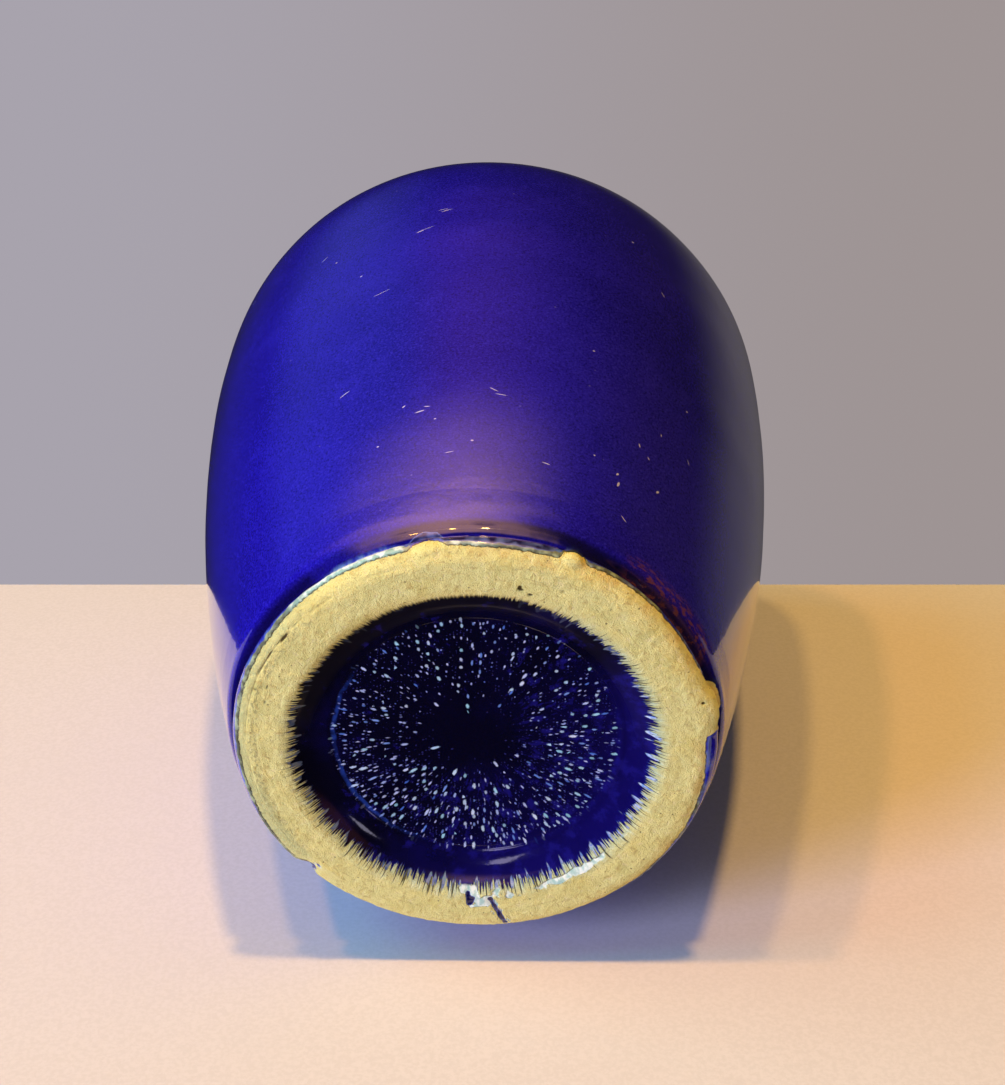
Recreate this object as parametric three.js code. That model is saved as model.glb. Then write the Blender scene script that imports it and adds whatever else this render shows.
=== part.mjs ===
// Stoneware jar: one thrown vessel with a turned foot ring, a full high shoulder and a short collar.
// Millimetres, +Z up. The jar stands on its foot ring at z = 0, with its axis on Z.
import * as THREE from 'three';

// ---- driving dimensions ----
const HEIGHT = 200;            // foot to lip
const SEGMENTS = 60;           // facets round the axis

// foot ring
const FOOT_R = 53.3;           // widest radius of the foot ring
const FOOT_WIDE_Z = 3.0;       // height of that widest line
const FLAT_IN_R = 43.2;        // bearing face of the ring, inner edge
const FLAT_OUT_R = 48.6;       // bearing face of the ring, outer edge
const WAIST_R = 51.9;          // turned crease between foot ring and body
const WAIST_Z = 6.2;

// recess under the foot
const RECESS_EDGE_R = 40.0;    // where the ring rolls over into the recess
const RECESS_EDGE_Z = 1.4;
const RECESS_R = 32.4;         // flat floor of the recess
const RECESS_Z = 4.7;
const RECESS_DOME = 0.5;       // the floor rises a little to the centre

// body
const BODY_LOW_R = 55.4;       // body radius just above the crease
const BODY_LOW_Z = 8.0;
const BELLY_R = 76.5;          // widest radius
const BELLY_Z = 148.0;         // height of the widest radius
const BODY_POWER = 1.93;       // fullness of the rise from foot to belly
const SHOULDER_TOP_Z = 187.0;  // where the shoulder has turned in to the collar
const SHOULDER_POWER_Z = 2.56; // fullness of the shoulder, along the height
const SHOULDER_POWER_R = 2.31; // fullness of the shoulder, along the radius

// collar and lip
const COLLAR_R = 43.0;         // outside of the collar
const COLLAR_FILLET = 2.6;     // soft corner where the collar meets the shoulder
const LIP_ROLL = 3.3;          // half thickness of the rolled lip
const LIP_R = 41.4;            // centre line of the rolled lip

// wall
const FLOOR_Z = 13.0;          // inside floor
const FLOOR_FILLET = 11.0;     // inside corner between floor and wall
const WALL_LOW = 7.0;          // wall thickness above the foot
const WALL_HIGH = 5.2;         // wall thickness at the shoulder

// ---- outline of the body, as a radius and height for each step ----
function bodyRadius(z) {
  const t = Math.max(0, (BELLY_Z - z) / (BELLY_Z - BODY_LOW_Z));
  return BELLY_R - (BELLY_R - BODY_LOW_R) * Math.pow(t, BODY_POWER);
}

function shoulderPoint(turn) {
  // turn runs from 0 at the belly to 1 at the foot of the collar
  const a = turn * Math.PI / 2;
  const z = BELLY_Z + (SHOULDER_TOP_Z - BELLY_Z) * Math.pow(Math.sin(a), 2 / SHOULDER_POWER_Z);
  const r = COLLAR_R + (BELLY_R - COLLAR_R) * Math.pow(Math.cos(a), 2 / SHOULDER_POWER_R);
  return [r, z];
}

function arc(centreR, centreZ, radius, from, to, steps) {
  const points = [];
  for (let i = 0; i <= steps; i++) {
    const a = THREE.MathUtils.degToRad(from + (to - from) * i / steps);
    points.push([centreR + radius * Math.cos(a), centreZ + radius * Math.sin(a)]);
  }
  return points;
}

function recess() {
  const points = [[0, RECESS_Z + RECESS_DOME]];
  for (const share of [0.5, 0.85]) {
    points.push([RECESS_R * share, RECESS_Z + RECESS_DOME * (1 - share * share)]);
  }
  points.push([RECESS_R, RECESS_Z]);
  // hollow cove from the recess floor out to the rolled edge of the ring
  const steps = 4;
  for (let i = 1; i <= steps; i++) {
    const t = i / steps;
    points.push([
      RECESS_R + (RECESS_EDGE_R - RECESS_R) * t,
      RECESS_EDGE_Z + (RECESS_Z - RECESS_EDGE_Z) * Math.pow(1 - t, 1.5),
    ]);
  }
  return points;
}

function footRing() {
  const points = [];
  points.push([(RECESS_EDGE_R + FLAT_IN_R) / 2, RECESS_EDGE_Z * 0.3]);
  points.push([FLAT_IN_R, 0]);
  points.push([FLAT_OUT_R, 0]);
  // quarter round from the bearing face up to the widest line
  const steps = 4;
  for (let i = 1; i <= steps; i++) {
    const a = i / steps * Math.PI / 2;
    points.push([
      FLAT_OUT_R + (FOOT_R - FLAT_OUT_R) * Math.sin(a),
      FOOT_WIDE_Z * (1 - Math.cos(a)),
    ]);
  }
  points.push([FOOT_R - 0.5, (FOOT_WIDE_Z + WAIST_Z) / 2]);
  points.push([WAIST_R, WAIST_Z]);
  return points;
}

function outerBody() {
  const points = [];
  const steps = 11;
  for (let i = 0; i < steps; i++) {
    const t = i / steps;
    const z = BODY_LOW_Z + (BELLY_Z - BODY_LOW_Z) * (0.35 * t * t + 0.65 * t);
    points.push([bodyRadius(z), z]);
  }
  const turns = 9;
  for (let i = 0; i < turns; i++) {
    const p = shoulderPoint(i / turns);
    if (p[0] > COLLAR_R + COLLAR_FILLET) points.push(p);
  }
  return points;
}

function insetOf(outline) {
  // the wall: each outline point moved inwards along its normal
  const points = [];
  for (let i = 1; i < outline.length - 1; i++) {
    const [r0, z0] = outline[i - 1];
    const [r1, z1] = outline[i + 1];
    const length = Math.hypot(r1 - r0, z1 - z0);
    const share = outline[i][1] / SHOULDER_TOP_Z;
    const wall = WALL_LOW + (WALL_HIGH - WALL_LOW) * share;
    points.push([
      outline[i][0] - wall * (z1 - z0) / length,
      outline[i][1] + wall * (r1 - r0) / length,
    ]);
  }
  return points;
}

const outside = outerBody();
const collar = [
  ...arc(COLLAR_R + COLLAR_FILLET, SHOULDER_TOP_Z + COLLAR_FILLET, COLLAR_FILLET, 270, 180, 3),
  [COLLAR_R, HEIGHT - 2 * LIP_ROLL - 1.2],
];
const lip = arc(LIP_R, HEIGHT - LIP_ROLL, LIP_ROLL, -40, 220, 8);
const throatR = COLLAR_R - 2 * LIP_ROLL + 1.0;
const throat = [
  [throatR, HEIGHT - 2 * LIP_ROLL - 1.2],
  [throatR, SHOULDER_TOP_Z - WALL_HIGH + 3.0],
  [throatR + 1.6, SHOULDER_TOP_Z - WALL_HIGH + 0.6],
];
const wallInside = insetOf([...outside, collar[0]])
  .filter(([r, z]) => z > FLOOR_Z + FLOOR_FILLET && r > throatR + 3.5)
  .reverse();
const cornerR = wallInside[wallInside.length - 1][0] - FLOOR_FILLET - 1.2;
const corner = arc(cornerR, FLOOR_Z + FLOOR_FILLET, FLOOR_FILLET, 0, -90, 4);

const profile = [
  ...recess(),
  ...footRing(),
  ...outside,
  ...collar,
  ...lip,
  ...throat,
  ...wallInside,
  ...corner,
  [0, FLOOR_Z],
].map(([r, z]) => new THREE.Vector2(r, z));

// LatheGeometry turns about Y, so the finished shape is stood up on Z
const geometry = new THREE.LatheGeometry(profile, SEGMENTS);
geometry.rotateX(Math.PI / 2);

const glaze = new THREE.MeshStandardMaterial({
  color: new THREE.Color(0.035, 0.02, 0.30),
  roughness: 0.12,
  metalness: 0,
});

const jar = new THREE.Mesh(geometry, glaze);
jar.name = 'jar';

const object = new THREE.Group();
object.add(jar);

export default object;
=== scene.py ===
import math

import bpy
import numpy as np
from mathutils import Matrix, Vector


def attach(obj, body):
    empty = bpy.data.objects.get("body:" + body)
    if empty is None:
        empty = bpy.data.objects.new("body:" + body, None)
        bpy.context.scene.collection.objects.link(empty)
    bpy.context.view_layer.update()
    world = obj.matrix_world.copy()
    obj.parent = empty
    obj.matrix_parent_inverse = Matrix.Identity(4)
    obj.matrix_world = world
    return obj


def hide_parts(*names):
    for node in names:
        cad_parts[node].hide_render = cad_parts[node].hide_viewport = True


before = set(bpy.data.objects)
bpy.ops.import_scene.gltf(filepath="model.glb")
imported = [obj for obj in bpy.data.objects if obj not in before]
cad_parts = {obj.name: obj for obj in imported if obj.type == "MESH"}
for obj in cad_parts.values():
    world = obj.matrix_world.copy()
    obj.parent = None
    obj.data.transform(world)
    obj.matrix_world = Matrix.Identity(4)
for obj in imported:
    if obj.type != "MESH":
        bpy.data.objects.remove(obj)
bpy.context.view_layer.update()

# Lengths in this file are millimetres until the mesh is written, and the scene is in metres.
MM = 0.001
TAU = 2.0 * math.pi

# ---------------------------------------------------------------- named sizes
HEIGHT = 200.0
FOOT_R = 53.3
FOOT_WIDE_Z = 3.0
FLAT_IN_R = 43.2
FLAT_OUT_R = 48.6
RECESS_EDGE_R = 40.0
RECESS_EDGE_Z = 1.4
RECESS_R = 32.4
RECESS_Z = 4.7
RECESS_DOME = 0.5
BODY_LOW_R = 55.4
BODY_LOW_Z = 8.0
BELLY_R = 76.5
BELLY_Z = 148.0
BODY_POWER = 1.93
SHOULDER_TOP_Z = 187.0
SHOULDER_POWER_Z = 2.56
SHOULDER_POWER_R = 2.31
COLLAR_R = 43.0
COLLAR_FILLET = 2.6
LIP_ROLL = 3.3
LIP_R = 41.4
FLOOR_Z = 13.0
FLOOR_FILLET = 11.0
WALL_LOW = 7.0
WALL_HIGH = 5.2


# ---------------------------------------------------------------- outline
def body_radius(z):
    t = max(0.0, (BELLY_Z - z) / (BELLY_Z - BODY_LOW_Z))
    return BELLY_R - (BELLY_R - BODY_LOW_R) * t**BODY_POWER


def body_slope(z):
    t = max(0.0, (BELLY_Z - z) / (BELLY_Z - BODY_LOW_Z))
    return (BELLY_R - BODY_LOW_R) * BODY_POWER * t ** (BODY_POWER - 1) / (BELLY_Z - BODY_LOW_Z)


def arc(cr, cz, radius, a0, a1, n=60):
    return [
        (cr + radius * math.cos(math.radians(a0 + (a1 - a0) * i / n)),
         cz + radius * math.sin(math.radians(a0 + (a1 - a0) * i / n)))
        for i in range(n + 1)
    ]


def bezier(p0, p1, p2, n=40):
    out = []
    for i in range(n + 1):
        t = i / n
        out.append(tuple((1 - t) ** 2 * a + 2 * t * (1 - t) * b + t * t * c for a, b, c in zip(p0, p1, p2)))
    return out


def outline():
    """The closed half section, from the middle of the recess round to the middle of the inside floor."""
    pts = []
    for i in range(300):
        r = RECESS_R * i / 300
        pts.append((r, RECESS_Z + RECESS_DOME * (1 - (r / RECESS_R) ** 2)))
    m0, m1 = 0.30, 1.81
    for i in range(120):
        t = i / 120
        s = (t**3 - 2 * t * t + t) * m0 + (3 * t * t - 2 * t**3) + (t**3 - t * t) * m1
        pts.append((RECESS_R + (RECESS_EDGE_R - RECESS_R) * t, RECESS_Z - (RECESS_Z - RECESS_EDGE_Z) * s))
    for i in range(60):
        r = RECESS_EDGE_R + (FLAT_IN_R - RECESS_EDGE_R) * i / 60
        pts.append((r, RECESS_EDGE_Z * ((FLAT_IN_R - r) / (FLAT_IN_R - RECESS_EDGE_R)) ** 1.8))
    for i in range(60):
        pts.append((FLAT_IN_R + (FLAT_OUT_R - FLAT_IN_R) * i / 60, 0.0))
    for i in range(80):
        a = i / 80 * math.pi / 2
        pts.append((FLAT_OUT_R + (FOOT_R - FLAT_OUT_R) * math.sin(a), FOOT_WIDE_Z * (1 - math.cos(a))))
    pts += bezier((53.3, 3.0), (53.3, 4.0), (52.75, 4.75))[:-1]
    pts += bezier((52.75, 4.75), (51.75, 6.30), (53.4, 6.72))[:-1]
    pts += bezier((53.4, 6.72), (55.15, 7.07), (body_radius(9.0), 9.0))[:-1]
    n = 700
    for i in range(n):
        z = 9.0 + (BELLY_Z - 9.0) * i / n
        pts.append((body_radius(z), z))
    for i in range(400):
        a = i / 400 * math.pi / 2
        r = COLLAR_R + (BELLY_R - COLLAR_R) * max(0.0, math.cos(a)) ** (2 / SHOULDER_POWER_R)
        z = BELLY_Z + (SHOULDER_TOP_Z - BELLY_Z) * math.sin(a) ** (2 / SHOULDER_POWER_Z)
        if r > COLLAR_R + COLLAR_FILLET + 0.2:
            pts.append((r, z))
    pts += arc(COLLAR_R + COLLAR_FILLET, SHOULDER_TOP_Z + COLLAR_FILLET, COLLAR_FILLET, 270, 180)
    pts.append((COLLAR_R, HEIGHT - 2 * LIP_ROLL - 1.6))
    pts += bezier((COLLAR_R, 191.9), (COLLAR_R, 193.3), (43.93, 194.58), 12)
    pts += arc(LIP_R, HEIGHT - LIP_ROLL, LIP_ROLL, -40, 220)[1:]
    throat = COLLAR_R - 2 * LIP_ROLL + 1.0
    pts += bezier((38.87, 194.58), (throat, 193.2), (throat, 191.6), 12)[1:]
    low = SHOULDER_TOP_Z - WALL_HIGH + 3.0
    pts.append((throat, low))
    pts += bezier((throat, low), (throat, low - 3.0), (throat + 4.2, low - 3.6), 20)[1:]
    # the wall, inset from the outline of the body
    body = []
    for i in range(500):
        z = 26.0 + (BELLY_Z - 26.0) * i / 500
        body.append((body_radius(z), z))
    for i in range(300):
        a = i / 300 * math.pi / 2
        r = COLLAR_R + (BELLY_R - COLLAR_R) * max(0.0, math.cos(a)) ** (2 / SHOULDER_POWER_R)
        z = BELLY_Z + (SHOULDER_TOP_Z - BELLY_Z) * math.sin(a) ** (2 / SHOULDER_POWER_Z)
        body.append((r, z))
    inner = []
    for i in range(1, len(body) - 1):
        (r0, z0), (r1, z1) = body[i - 1], body[i + 1]
        length = math.hypot(r1 - r0, z1 - z0)
        if length < 1e-9:
            continue
        wall = WALL_LOW + (WALL_HIGH - WALL_LOW) * body[i][1] / SHOULDER_TOP_Z
        inner.append((body[i][0] - wall * (z1 - z0) / length, body[i][1] + wall * (r1 - r0) / length))
    start = pts[-1]
    inner = [p for p in inner if p[0] > start[0] + 3.0 and p[1] > FLOOR_Z + FLOOR_FILLET]
    pts += inner[::-1]
    corner = inner[0][0] - FLOOR_FILLET - 0.2
    pts += arc(corner, FLOOR_Z + FLOOR_FILLET, FLOOR_FILLET, -6, -90, 40)
    for i in range(1, 60):
        pts.append((corner * (1 - i / 60), FLOOR_Z))
    pts.append((0.0, FLOOR_Z))
    return np.array(pts)


raw = outline()
step = np.hypot(*np.diff(raw, axis=0).T)
raw = raw[np.concatenate([[True], step > 1e-4])]
arc_len = np.concatenate([[0], np.cumsum(np.hypot(*np.diff(raw, axis=0).T))])
TOTAL = arc_len[-1]
fine_s = np.arange(0, TOTAL, 0.05)
fine_r = np.interp(fine_s, arc_len, raw[:, 0])
fine_z = np.interp(fine_s, arc_len, raw[:, 1])


def smooth(v, n):
    k = np.ones(n) / n
    pad = np.pad(v, n // 2, mode="edge")
    return np.convolve(pad, k, mode="valid")[: len(v)]


tan_r = smooth(np.gradient(fine_r, fine_s), 9)
tan_z = smooth(np.gradient(fine_z, fine_s), 9)
norm = np.hypot(tan_r, tan_z)
fine_nr, fine_nz = tan_z / norm, -tan_r / norm

OUTSIDE_END = int(np.argmax(fine_z))  # the top of the lip


def s_at(r, z):
    """Where along the outline the point nearest (r, z) on the outside is."""
    k = np.argmin((fine_r[:OUTSIDE_END] - r) ** 2 + (fine_z[:OUTSIDE_END] - z) ** 2)
    return fine_s[k]


S_DISC = s_at(RECESS_R, RECESS_Z)
S_EDGE = s_at(RECESS_EDGE_R, RECESS_EDGE_Z)
S_FLAT0 = s_at(FLAT_IN_R, 0)
S_FLAT1 = s_at(FLAT_OUT_R, 0)
S_WIDE = s_at(FOOT_R, FOOT_WIDE_Z)
S_CREASE = s_at(52.5, 6.2)
S_LOW = s_at(body_radius(9.0), 9.0)
S_20 = s_at(body_radius(20.0), 20.0)
S_BELLY = s_at(BELLY_R, BELLY_Z)
S_COLLAR = s_at(COLLAR_R, 190.0)
S_LIP = s_at(43.93, 194.58)
S_TOP = fine_s[OUTSIDE_END]


# ---------------------------------------------------------------- repeatable noise
def hash3(ix, iy, iz, seed):
    h = (ix * 374761393 + iy * 668265263 + iz * 1440662683 + seed * 974711) & 0xFFFFFFFF
    h = ((h ^ (h >> 13)) * 1274126177) & 0xFFFFFFFF
    h = h ^ (h >> 16)
    return (h & 0xFFFFFF) / float(0xFFFFFF)


def vnoise(x, y, z, seed=0):
    x, y, z = np.broadcast_arrays(x, y, z)
    i = [np.floor(v).astype(np.int64) for v in (x, y, z)]
    f = [v - np.floor(v) for v in (x, y, z)]
    u = [v * v * v * (v * (v * 6 - 15) + 10) for v in f]
    total = 0.0
    for dx in (0, 1):
        for dy in (0, 1):
            for dz in (0, 1):
                w = (u[0] if dx else 1 - u[0]) * (u[1] if dy else 1 - u[1]) * (u[2] if dz else 1 - u[2])
                total = total + w * hash3(i[0] + dx, i[1] + dy, i[2] + dz, seed)
    return total * 2 - 1


def fbm(x, y, z, octaves=3, seed=0):
    total, amp, norm_ = 0.0, 1.0, 0.0
    for k in range(octaves):
        total = total + amp * vnoise(x * 2**k, y * 2**k, z * 2**k, seed + 31 * k)
        norm_ += amp
        amp *= 0.5
    return total / norm_


def sstep(x, lo, hi):
    t = np.clip((x - lo) / (hi - lo), 0, 1)
    return t * t * (3 - 2 * t)


def around(deg, table):
    """A value that changes smoothly round the jar, from named angles and values."""
    a = np.array([p[0] for p in table], float)
    v = np.array([p[1] for p in table], float)
    a = np.concatenate([a - 360, a, a + 360])
    v = np.concatenate([v, v, v])
    order = np.argsort(a)
    return np.interp(np.mod(deg, 360), a[order], v[order])


# ---------------------------------------------------------------- where the rows run
def spacing(s):
    if s < S_DISC - 2.5:
        return 1.45
    if s < S_EDGE - 4.2:
        return 0.55
    if s < S_CREASE + 0.8:
        return 0.355
    if s < S_20:
        return 0.72
    if s < S_BELLY:
        return 2.1
    if s < S_COLLAR - 6:
        return 1.7
    if s < S_TOP + 6.0:
        return 0.62
    if s < S_TOP + 14.0:
        return 1.3
    return 3.4


def segments(s, r):
    if s < 40:
        if r < 4.5:
            return 45
        if r < 11:
            return 90
        if r < 28:
            return 180
        if r < 35.5:
            return 360
    if s < S_CREASE + 0.8:
        return 720
    if s < S_20:
        return 360
    if s < S_TOP + 10:
        return 180
    if r > 24 or s < TOTAL - 40:
        return 90
    return 45


rows = []
s = 1.2
while s < TOTAL - 2.0:
    r = float(np.interp(s, fine_s, fine_r))
    rows.append((s, segments(s, r)))
    s += spacing(s)
row_s = np.array([x[0] for x in rows])
row_n = np.array([x[1] for x in rows])
# neighbouring rows differ by at most a factor of two
for _ in range(6):
    for i in range(len(row_n) - 1):
        a, b = row_n[i], row_n[i + 1]
        if a > 2 * b:
            row_n[i + 1] = a // 2
        elif b > 2 * a:
            row_n[i] = b // 2

vert_s = np.concatenate([np.full(n, s) for s, n in zip(row_s, row_n)])
vert_deg = np.concatenate([np.arange(n) * 360.0 / n for n in row_n])
row_start = np.concatenate([[0], np.cumsum(row_n)])[:-1]
R = np.interp(vert_s, fine_s, fine_r)
Z = np.interp(vert_s, fine_s, fine_z)
NR = np.interp(vert_s, fine_s, fine_nr)
NZ = np.interp(vert_s, fine_s, fine_nz)
rad = np.radians(vert_deg)
CX, CY = np.cos(rad), np.sin(rad)
outside = vert_s < S_TOP

# glaze has run down and filled the crease on one side of the foot, so the flare meets the ring lower there
filled = bezier((53.3, 3.0), (53.3, 3.45), (53.05, 3.7))[:-1] + bezier((53.05, 3.7), (52.85, 4.0), (53.5, 4.2))[:-1]
filled += bezier((53.5, 4.2), (54.25, 4.4), (body_radius(5.2), 5.2))[:-1] + [(body_radius(z), z) for z in np.linspace(5.2, 9.0, 30)]
filled = np.array(filled)
filled_len = np.concatenate([[0], np.cumsum(np.hypot(*np.diff(filled, axis=0).T))])
share = np.clip((vert_s - S_WIDE) / (S_LOW - S_WIDE), 0, 1) * filled_len[-1]
fill_w = sstep(vert_deg, 222, 242) * (1 - sstep(vert_deg, 286, 304)) * ((vert_s > S_WIDE) & (vert_s < S_LOW))
fr, fz = np.interp(share, filled_len, filled[:, 0]), np.interp(share, filled_len, filled[:, 1])
ftr = np.interp(share, filled_len, smooth(np.gradient(filled[:, 0], filled_len), 5))
ftz = np.interp(share, filled_len, smooth(np.gradient(filled[:, 1], filled_len), 5))
R, Z = R + fill_w * (fr - R), Z + fill_w * (fz - Z)
NR, NZ = NR + fill_w * (ftz - NR), NZ + fill_w * (-ftr - NZ)

# ---------------------------------------------------------------- glaze edges
# Outer edge of the bare clay, as a distance along the section past the flat of the ring. Angles run round the foot.
EDGE_OUT = [
    (0, 2.7), (6, 3.1), (17, 3.4), (30, 4.3), (45, 4.8), (62, 6.0), (80, 7.5), (118, 7.5), (130, 6.4),
    (133.2, 6.0), (134.4, 2.6), (137.8, 2.2), (139.0, 4.2), (146, 3.7), (155, 3.4), (164, 3.1), (174, 3.3),
    (185, 3.5), (195, 3.7), (205, 3.9), (214, 4.1), (223, 4.6), (233, 4.9), (243, 4.7), (252.5, 4.4),
    (254.2, 5.4), (256.5, 6.3), (259.5, 5.9), (261.2, 4.4), (270, 3.9), (280, 3.9), (287.4, 4.1),
    (288.6, 6.3), (290.3, 7.4), (292.4, 7.0), (293.6, 4.8), (300, 5.2), (312, 5.6), (326, 5.8), (334, 6.0),
    (339.5, 7.4), (341.5, 11.5), (349.5, 12.0), (351.5, 8.0), (352.4, 2.3), (356, 1.9),
]
edge_wander = 0.16 * fbm(CX * 9, CY * 9, 0.3, 3, 11) + 0.10 * vnoise(CX * 34, CY * 34, 1.7, 12)
s_out = S_FLAT1 + around(vert_deg, EDGE_OUT) + edge_wander
edge_out = vert_s - s_out

# Inner edge, where the recess glaze feathers out over the rolled rim of the ring
IN_WANDER = [
    (0, 0.5), (25, 0.1), (50, 0.9), (75, 0.3), (90, 0.9), (110, 0.2), (130, 0.4), (150, -0.1), (170, 0.6),
    (190, 0.9), (205, 0.2), (225, -0.5), (250, -0.3), (270, 0.0), (290, 0.0), (310, -0.2), (325, -0.3), (340, 0.2),
]
s_in = S_EDGE + around(vert_deg, IN_WANDER) + 0.3 * fbm(CX * 6, CY * 6, 4.4, 2, 21)
edge_in = s_in - vert_s

# how long the teeth of the feather edge are, how green its fringe (where it is weak, the edge carries painted shade),
# how white its streaks
TEETH = [(0, 1.1), (30, 1.0), (60, 1.05), (90, 1.2), (120, 1.15), (150, 1.1), (180, 1.0), (205, 0.8), (230, 0.4),
         (262, 0.26), (280, 0.55), (300, 0.75), (320, 0.9), (340, 1.0)]
HALO = [(0, 0.9), (25, 0.75), (50, 1.0), (75, 0.95), (100, 0.8), (125, 0.7), (150, 0.45), (180, 0.30), (205, 0.15), (225, 0.05),
        (270, 0.05), (290, 0.2), (302, 0.7), (325, 0.8), (340, 0.8)]
STREAK = [(0, 0.9), (30, 0.7), (55, 0.5), (80, 0.55), (110, 0.3), (140, 0.3), (170, 0.25), (200, 0.15), (225, 0.05),
          (270, 0.0), (300, 0.08), (318, 0.25), (332, 0.6), (345, 0.85)]
# how white the glaze edge is outside the ring
BEAD = [(0, 0.10), (20, 0.15), (45, 0.25), (70, 0.2), (100, 0.1), (130, 0.15), (142, 0.25), (160, 0.26), (180, 0.28),
        (200, 0.25), (214, 0.25), (224, 0.55), (233, 1.0), (247, 1.0), (251, 0.6), (253.5, 0.08), (260.5, 0.08), (263, 0.50), (267, 0.42),
        (276, 0.34), (286, 0.28), (296, 0.30), (306, 0.26), (320, 0.12), (340, 0.05)]


# ---------------------------------------------------------------- single features of the foot
def spot(deg, r, z, wide, high, power=2.0):
    """1 in the middle of a patch and 0 outside it; wide runs round the jar, high along the section."""
    dx = (np.mod(vert_deg - deg + 180, 360) - 180) * math.pi / 180 * np.maximum(R, 1.0)
    ds = vert_s - s_at(r, z)
    d2 = (dx / wide) ** 2 + (ds / high) ** 2
    out = np.exp(-np.minimum(d2, 60) ** (power / 2))
    out[~outside] = 0
    return out


def stroke(deg0, r0, deg1, r1, width):
    """1 along a straight stroke over the bearing face and its rims."""
    p0 = np.array([r0 * math.cos(math.radians(deg0)), r0 * math.sin(math.radians(deg0))])
    p1 = np.array([r1 * math.cos(math.radians(deg1)), r1 * math.sin(math.radians(deg1))])
    d = p1 - p0
    px, py = R * CX - p0[0], R * CY - p0[1]
    t = np.clip((px * d[0] + py * d[1]) / (d @ d), 0, 1)
    dist = np.hypot(px - t * d[0], py - t * d[1])
    out = np.exp(-((dist / width) ** 2))
    out[(vert_s > S_WIDE) | (vert_s < S_DISC)] = 0
    return out


D = np.zeros(len(R))      # movement along the normal
DR = np.zeros(len(R))     # movement straight out from the axis
dirt = np.zeros(len(R))
navy = np.zeros(len(R))
pale = np.zeros(len(R))

ring = sstep(vert_s, S_EDGE - 0.5, S_EDGE + 1.5) * (1 - sstep(vert_s, S_CREASE - 1.0, S_CREASE + 1.5))
clay = np.clip(1 - np.maximum(sstep(edge_in, -0.4, 0.3), sstep(edge_out, -0.1, 0.3)), 0, 1) * outside

# the ring is a little out of round
outer_w = sstep(vert_s, S_FLAT0 + 1, S_FLAT1 + 2) * (1 - sstep(vert_s, S_CREASE, S_LOW + 2))
OUT_OF_ROUND = [(0, 0.25), (25, 0.1), (60, 0.15), (100, 0.1), (135, -0.1), (160, 0.1), (200, 0.1), (228, -0.35),
                (245, -0.3), (262, 0.0), (290, 0.15), (305, 0.1), (318, -0.35), (332, -0.55), (339, -0.2), (346, 0.5), (352, 0.4)]
DR += outer_w * (around(vert_deg, OUT_OF_ROUND) + 0.12 * fbm(CX * 4, CY * 4, 2.2, 2, 5))

# clay: turning marks, hand-worn unevenness, grain
turn = vnoise(vert_s / 1.15, CX * 1.6, CY * 1.6, 41) * 0.030 + vnoise(vert_s / 2.9, CX * 1.1, CY * 1.1, 42) * 0.05
uneven = fbm(R * CX / 5.5, R * CY / 5.5, Z / 5.5, 3, 43)
grain = fbm(R * CX / 1.3, R * CY / 1.3, Z / 1.3, 2, 44)
D += ring * (turn + 0.12 * uneven) + clay * 0.125 * grain
# dragged streaks along the turning, on the left and upper right of the ring
drag = vnoise(CX * 24, CY * 24, vert_s / 0.55, 45)
D += clay * 0.045 * drag * around(vert_deg, [(0, 0.5), (60, 0.2), (120, 0.4), (160, 1.0), (205, 1.0), (250, 0.5), (300, 0.7), (330, 0.9)])

# the glaze lies proud of the clay, with a rolled bead along its outer edge
bead_h = around(vert_deg, BEAD)
glaze_out = sstep(edge_out, -0.05, 0.55) * outside
D += glaze_out * 0.22 * (1 - sstep(vert_s, S_LOW, S_LOW + 70))
D += outside * (0.10 + 0.26 * bead_h) * np.exp(-(((edge_out - 0.75) / 0.62) ** 2)) * (1 + 0.5 * fbm(CX * 16, CY * 16, 0.9, 2, 51))
D += outside * 0.10 * sstep(edge_in, -0.2, 1.4) * (vert_s < S_FLAT0)
# pooled rim of the recess disc: a soft ridge with a groove inside it
D += 0.20 * np.exp(-(((vert_s - (S_DISC + 0.55)) / 0.55) ** 2)) * (1 + 0.4 * vnoise(CX * 5, CY * 5, 3.3, 52))
D -= 0.16 * np.exp(-(((vert_s - (S_DISC - 0.65)) / 0.50) ** 2))
cove = sstep(vert_s, S_DISC + 0.5, S_DISC + 2.5) * (1 - sstep(vert_s, S_EDGE - 2.5, S_EDGE))
D += 0.045 * cove * vnoise(vert_s / 1.9, CX * 2.0, CY * 2.0, 53)
D += 0.05 * np.where(vert_s < S_DISC + 1, 1, 0) * fbm(R * CX / 9, R * CY / 9, 0.7, 2, 54)

# a cream lump that lies over the glaze edge, and the brown hollow beside it
lump = spot(257.3, 52.5, 1.4, 3.0, 1.25, 4)
D += 0.42 * lump
hollow = spot(263.4, 51.3, 0.75, 2.1, 0.55, 3) * (0.65 + 0.7 * vnoise(R * CX / 0.9, R * CY / 0.9, Z / 0.9, 59))
D -= 0.30 * hollow
dirt += 0.42 * hollow
# a cream knob that stands out over the glaze
knob = spot(290.6, 52.9, 2.0, 2.1, 1.5, 4)
D += 0.85 * knob
DR += 0.25 * knob
# a bulge of bare clay over the crease
bulge = spot(345.6, 53.2, 3.8, 4.6, 3.4, 4)
D += 0.75 * bulge + 0.15 * bulge * fbm(R * CX / 2.2, R * CY / 2.2, Z / 2.2, 2, 55)
# long glaze pocket beside it
for k in range(12):
    a = 353.5 + k * 2.3
    D -= 0.16 * spot(a, 51.3, 0.65, 1.5, 0.8)
    navy += 0.55 * (1 - k / 14) * spot(a, 51.4, 0.7, 1.6, 0.75)
D += 0.20 * spot(0, 52.9, 2.0, 7.5, 0.7, 3)
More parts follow.
